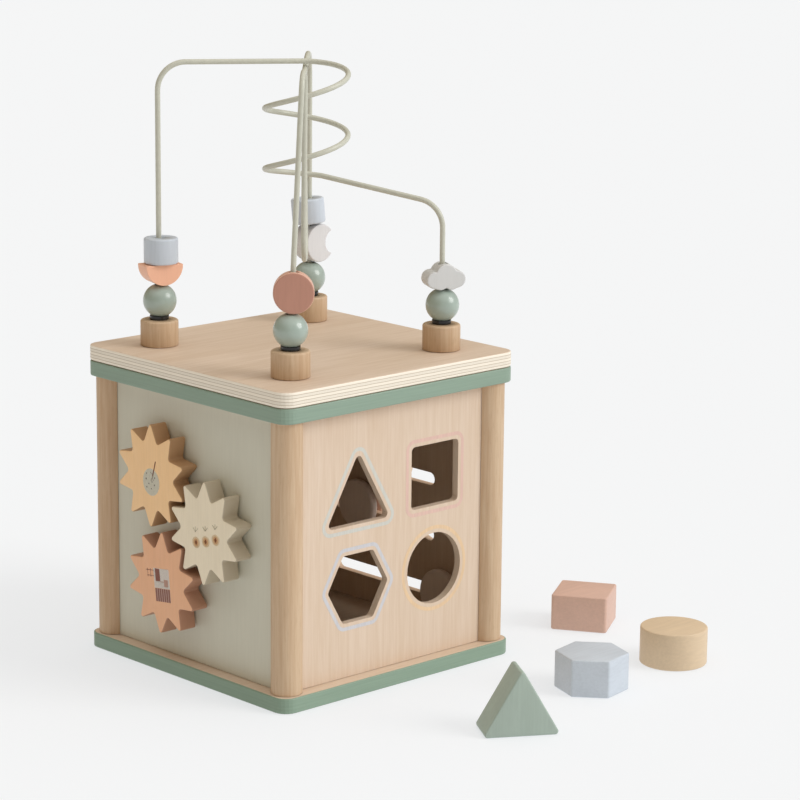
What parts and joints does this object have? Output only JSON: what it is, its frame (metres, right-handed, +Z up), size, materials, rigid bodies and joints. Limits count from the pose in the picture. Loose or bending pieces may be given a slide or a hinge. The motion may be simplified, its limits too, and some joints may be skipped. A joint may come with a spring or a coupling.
{
  "type": "shape sorter",
  "caption": "Wooden activity cube: shape sorting box with loose blocks, meshing gears, sliding tracks and a bead maze on a lift-off lid.",
  "frame": {"origin": "centre of the base board's underside", "axes": "+Z up; the shape sorter panel faces -Y, the gear panel faces -X and the track panel faces +X"},
  "size_m": [0.314, 0.3364, 0.3932],
  "materials": {
    "green_paint": "satin painted",
    "beech": "sanded, clear matt lacquer",
    "birch": "sanded, clear matt lacquer",
    "birch_plywood": "sanded, clear matt lacquer",
    "grey_stain": "matt stained",
    "yellow_stain": "matt stained",
    "cream_stain": "matt stained",
    "coral_stain": "matt stained",
    "blue_stain": "matt stained",
    "sage_stain": "matt stained",
    "sage_gloss": "gloss lacquered",
    "white_paint": "satin painted",
    "black_rubber": "matt",
    "cream_wire": "powder coated",
    "zinc_steel": "zinc plated"
  },
  "bodies": {
    "box": {"base_board": "green_paint", "top_frame": "green_paint", "sorter_panel": "birch", "gear_panel": "grey_stain", "track_panel": "birch", "back_panel": "birch", "post_front": "beech", "post_right": "beech", "post_back": "beech", "post_left": "beech", "base_screw_front": "zinc_steel", "base_screw_right": "zinc_steel", "base_screw_back": "zinc_steel", "base_screw_left": "zinc_steel", "gear_axle_yellow": "beech", "gear_axle_cream": "beech", "gear_axle_coral": "beech"},
    "lid": {"lid_board": "birch_plywood", "lid_locator": "birch", "peg_front": "beech", "peg_right": "beech", "peg_back": "beech", "peg_left": "beech", "collar_front": "black_rubber", "collar_right": "black_rubber", "collar_back": "black_rubber", "collar_left": "black_rubber", "spiral_wire": "cream_wire", "wave_wire": "cream_wire"},
    "ball_left": {"ball_left": "sage_gloss"},
    "half_moon": {"half_moon": "coral_stain"},
    "barrel_left": {"barrel_left": "blue_stain"},
    "ball_front": {"ball_front": "sage_gloss"},
    "disc_bead": {"disc_bead": "coral_stain"},
    "ball_right": {"ball_right": "sage_gloss"},
    "cloud_bead": {"cloud_bead": "white_paint"},
    "ball_back": {"ball_back": "sage_gloss"},
    "crescent_bead": {"crescent_bead": "cream_stain"},
    "barrel_back": {"barrel_back": "blue_stain"},
    "gear_yellow": {"gear_yellow": "yellow_stain"},
    "gear_cream": {"gear_cream": "cream_stain"},
    "gear_coral": {"gear_coral": "coral_stain"},
    "block_square": {"block_square": "coral_stain"},
    "block_hexagon": {"block_hexagon": "blue_stain"},
    "block_cylinder": {"block_cylinder": "yellow_stain"},
    "block_triangle": {"block_triangle": "sage_stain"},
    "slider_top": {"slider_disc_top": "beech", "slider_knob_top": "yellow_stain"},
    "slider_arc": {"slider_disc_arc": "beech", "slider_knob_arc": "coral_stain"},
    "slider_low": {"slider_disc_low": "beech", "slider_knob_low": "sage_stain"}
  },
  "joints": [
    {"name": "lid_lift", "type": "slide", "parent": "box", "child": "lid", "axis": [0, 0, 1], "range_m": [0, 0.06]},
    {"name": "ball_left_slide", "type": "slide", "parent": "lid", "child": "ball_left", "axis": [0, 0, 1], "range_m": [0, 0.03]},
    {"name": "half_moon_slide", "type": "slide", "parent": "ball_left", "child": "half_moon", "axis": [0, 0, 1], "range_m": [0, 0.03]},
    {"name": "barrel_left_slide", "type": "slide", "parent": "half_moon", "child": "barrel_left", "axis": [0, 0, 1], "range_m": [0, 0.03]},
    {"name": "ball_front_slide", "type": "slide", "parent": "lid", "child": "ball_front", "axis": [0.1137, 0.0623, 0.9916], "range_m": [0, 0.04]},
    {"name": "disc_slide", "type": "slide", "parent": "ball_front", "child": "disc_bead", "axis": [0.1137, 0.0623, 0.9916], "range_m": [0, 0.04]},
    {"name": "ball_right_slide", "type": "slide", "parent": "lid", "child": "ball_right", "axis": [0, 0, 1], "range_m": [0, 0.008]},
    {"name": "cloud_slide", "type": "slide", "parent": "ball_right", "child": "cloud_bead", "axis": [0, 0, 1], "range_m": [0, 0.008]},
    {"name": "ball_back_slide", "type": "slide", "parent": "lid", "child": "ball_back", "axis": [0, 0, 1], "range_m": [0, 0.022]},
    {"name": "crescent_slide", "type": "slide", "parent": "ball_back", "child": "crescent_bead", "axis": [0, 0, 1], "range_m": [0, 0.022]},
    {"name": "barrel_back_slide", "type": "slide", "parent": "crescent_bead", "child": "barrel_back", "axis": [0, 0, 1], "range_m": [0, 0.022]},
    {"name": "gear_yellow_spin", "type": "hinge", "parent": "box", "child": "gear_yellow", "pos_m": [-0.098, 0.02637, 0.13081], "axis": [-1, 0, 0], "continuous": true},
    {"name": "gear_cream_spin", "type": "hinge", "parent": "box", "child": "gear_cream", "pos_m": [-0.098, -0.0269, 0.1032], "axis": [-1, 0, 0], "continuous": true},
    {"name": "gear_coral_spin", "type": "hinge", "parent": "box", "child": "gear_coral", "pos_m": [-0.098, 0.01641, 0.06167], "axis": [-1, 0, 0], "continuous": true},
    {"name": "top_slider_slide", "type": "slide", "parent": "box", "child": "slider_top", "axis": [0, 1, 0], "range_m": [-0.0473, 0.0016]},
    {"name": "low_slider_slide", "type": "slide", "parent": "box", "child": "slider_low", "axis": [0, 1, 0], "range_m": [-0.0011, 0.1041]},
    {"name": "arc_slider_swing", "type": "hinge", "parent": "box", "child": "slider_arc", "pos_m": [0.09, 0.02, -0.0984], "axis": [1, 0, 0], "range_deg": [-7.5, 21.8]},
    {"name": "block_square_lift", "type": "slide", "parent": "box", "child": "block_square", "axis": [0, 0, 1], "range_m": [0, 0.1]},
    {"name": "block_hexagon_lift", "type": "slide", "parent": "box", "child": "block_hexagon", "axis": [0, 0, 1], "range_m": [0, 0.1]},
    {"name": "block_cylinder_lift", "type": "slide", "parent": "box", "child": "block_cylinder", "axis": [0, 0, 1], "range_m": [0, 0.1]},
    {"name": "block_triangle_lift", "type": "slide", "parent": "box", "child": "block_triangle", "axis": [0, 0, 1], "range_m": [0, 0.1]}
  ],
  "couplings": [
    {"joint": "gear_cream_spin", "follows": "gear_yellow_spin", "ratio": -1},
    {"joint": "gear_coral_spin", "follows": "gear_yellow_spin", "ratio": 1}
  ]
}
